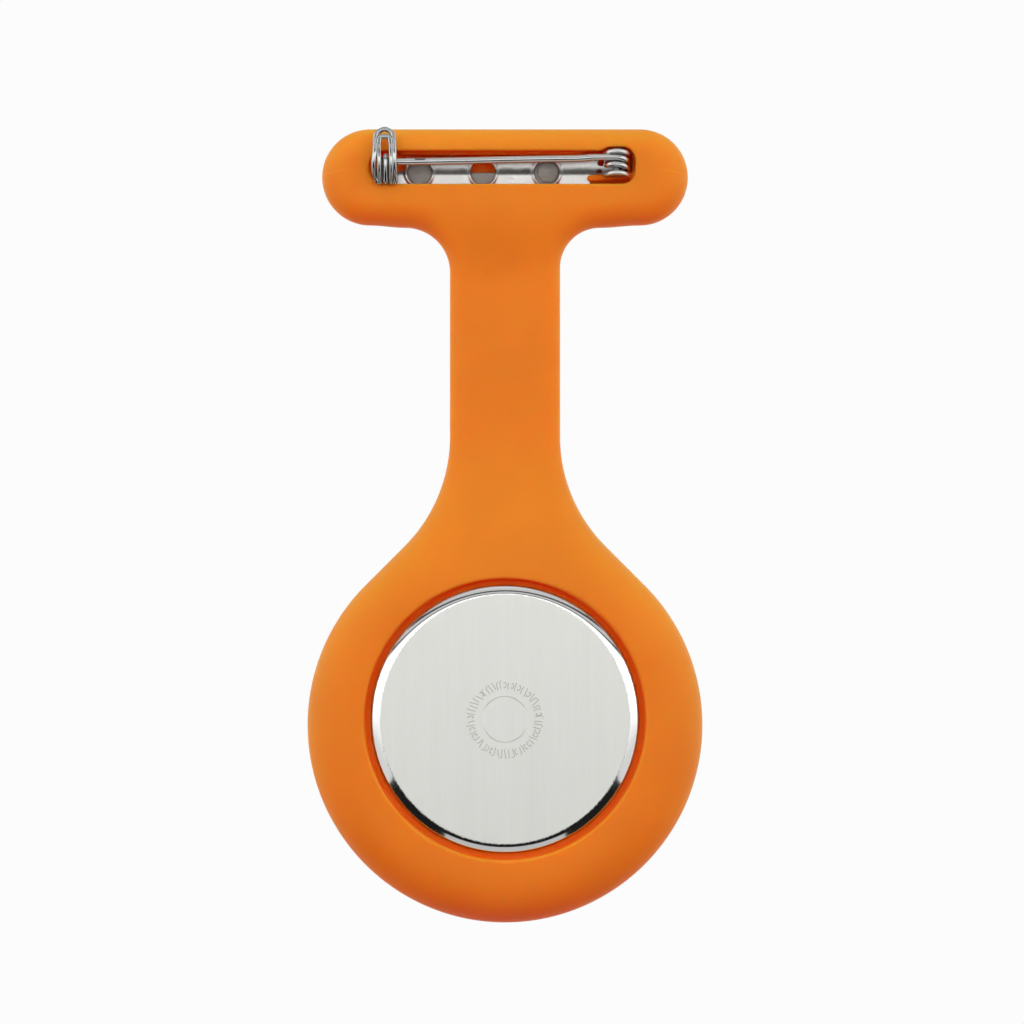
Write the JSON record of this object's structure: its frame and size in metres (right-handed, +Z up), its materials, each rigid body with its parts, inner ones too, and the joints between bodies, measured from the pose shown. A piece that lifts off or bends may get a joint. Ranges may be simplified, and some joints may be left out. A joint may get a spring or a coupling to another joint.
{
  "type": "fob watch",
  "caption": "Silicone fob watch worn on clothing: a brooch bar with needle, catch and wire lock, a flexible strap, and a round bulb holding an analogue quartz watch head.",
  "frame": {"origin": "on the brooch needle, at the middle of its span, where the watch hangs from cloth", "axes": "+Z up along the strap towards the brooch bar, +Y out of the case back towards the wearer, so the dial faces -Y and the twelve is at its bottom"},
  "size_m": [0.0424, 0.0098, 0.0852],
  "materials": {
    "silicone": "satin moulded silicone",
    "fitting_steel": "bright nickel plate",
    "case_steel": "vertical brushed grain, polished edge",
    "polished_steel": "polished",
    "crystal_glass": "clear mineral glass",
    "gasket_rubber": "matte",
    "dial_white": "white with printed minute track and numerals",
    "hand_black": "satin black",
    "hand_red": "satin red",
    "movement_steel": "fine turned and stamped steel",
    "movement_brass": "lightly brushed",
    "coil_copper": "wound enamelled copper wire",
    "magnet": "sintered magnet",
    "movement_plastic": "matte moulded",
    "board_green": "solder resist",
    "blob_black": "epoxy drop"
  },
  "bodies": {
    "brooch": {"jacket_upper": "silicone", "pin_base_plate": "fitting_steel", "pin_backing_strip": "fitting_steel", "hinge_rivet": "fitting_steel", "catch_hook": "fitting_steel"},
    "needle": {"pin_needle": "fitting_steel"},
    "bail": {"safety_bail": "fitting_steel"},
    "watch": {"jacket_lower": "silicone", "mid_case": "case_steel", "bezel": "polished_steel", "crystal": "crystal_glass", "crystal_gasket": "gasket_rubber", "case_back": "case_steel", "case_back_gasket": "gasket_rubber", "dial": "dial_white", "dial_ring": "polished_steel", "crown_tube": "movement_steel", "movement_ring": "movement_plastic", "main_plate": "movement_brass", "train_bridge": "movement_brass", "circuit_board": "board_green", "quartz_can": "movement_steel", "ic_blob": "blob_black", "coil": "coil_copper", "stator": "movement_steel", "battery": "movement_steel", "battery_clamp": "movement_steel", "bridge_screw_1": "movement_steel", "bridge_screw_2": "movement_steel", "bridge_screw_3": "movement_steel", "clamp_screw": "movement_steel"},
    "clutch": {"clutch_pinion": "movement_brass"},
    "crown": {"crown": "polished_steel", "crown_gasket": "gasket_rubber", "winding_stem": "movement_steel"},
    "lever": {"setting_lever": "movement_steel"},
    "seconds": {"seconds_wheel": "movement_brass", "second_hand": "hand_red"},
    "fifth": {"fifth_wheel": "movement_brass"},
    "rotor": {"rotor": "magnet"},
    "third": {"third_wheel": "movement_brass"},
    "centre": {"centre_wheel": "movement_brass", "minute_hand": "hand_black"},
    "minute_wheel": {"minute_wheel": "movement_steel"},
    "hour": {"hour_wheel": "movement_brass", "hour_hand": "hand_black"}
  },
  "joints": [
    {"name": "needle_swing", "type": "hinge", "parent": "brooch", "child": "needle", "pos_m": [-0.01195, -0.00095, 0], "axis": [0, 0, 1], "range_deg": [0, 75], "deforming": ["pin_needle"]},
    {"name": "bail_swing", "type": "hinge", "parent": "brooch", "child": "bail", "pos_m": [0.01283, 0.00015, -0.0022], "axis": [-1, 0, 0], "range_deg": [0, 110]},
    {"name": "strap_flex", "type": "hinge", "parent": "brooch", "child": "watch", "pos_m": [0, -0.003, -0.02], "axis": [-1, 0, 0], "range_deg": [-60, 80], "stiffness_Nm_per_rad": 0.004},
    {"name": "crown_turn", "type": "hinge", "parent": "watch", "child": "clutch", "pos_m": [0, -0.0019, -0.0597], "axis": [1, 0, 0], "continuous": true},
    {"name": "crown_pull", "type": "slide", "parent": "clutch", "child": "crown", "axis": [-1, 0, 0], "range_m": [0, 0.0006]},
    {"name": "lever_tilt", "type": "hinge", "parent": "watch", "child": "lever", "pos_m": [-0.0075, 0, -0.0575], "axis": [0, 1, 0], "range_deg": [0, 16]},
    {"name": "seconds_turn", "type": "hinge", "parent": "watch", "child": "seconds", "pos_m": [0, 0, -0.0597], "axis": [0, 1, 0], "continuous": true},
    {"name": "fifth_turn", "type": "hinge", "parent": "watch", "child": "fifth", "pos_m": [0.00152, 0, -0.05706], "axis": [0, 1, 0], "continuous": true},
    {"name": "rotor_turn", "type": "hinge", "parent": "watch", "child": "rotor", "pos_m": [0.00338, 0, -0.05639], "axis": [0, 1, 0], "continuous": true},
    {"name": "third_turn", "type": "hinge", "parent": "watch", "child": "third", "pos_m": [-0.0021, 0, -0.0576], "axis": [0, 1, 0], "continuous": true},
    {"name": "centre_turn", "type": "hinge", "parent": "watch", "child": "centre", "pos_m": [0, 0, -0.0597], "axis": [0, 1, 0], "continuous": true},
    {"name": "minute_wheel_turn", "type": "hinge", "parent": "watch", "child": "minute_wheel", "pos_m": [-0.00188, 0, -0.06038], "axis": [0, 1, 0], "continuous": true},
    {"name": "hour_turn", "type": "hinge", "parent": "watch", "child": "hour", "pos_m": [0, 0, -0.0597], "axis": [0, 1, 0], "continuous": true}
  ],
  "couplings": [
    {"joint": "lever_tilt", "follows": "crown_pull", "rad_per_m": 454.5},
    {"joint": "fifth_turn", "follows": "seconds_turn", "ratio": -6},
    {"joint": "rotor_turn", "follows": "seconds_turn", "ratio": 30},
    {"joint": "third_turn", "follows": "seconds_turn", "ratio": -0.16667},
    {"joint": "centre_turn", "follows": "seconds_turn", "ratio": 0.016667},
    {"joint": "minute_wheel_turn", "follows": "seconds_turn", "ratio": -0.0055556},
    {"joint": "hour_turn", "follows": "seconds_turn", "ratio": 0.0013889}
  ]
}
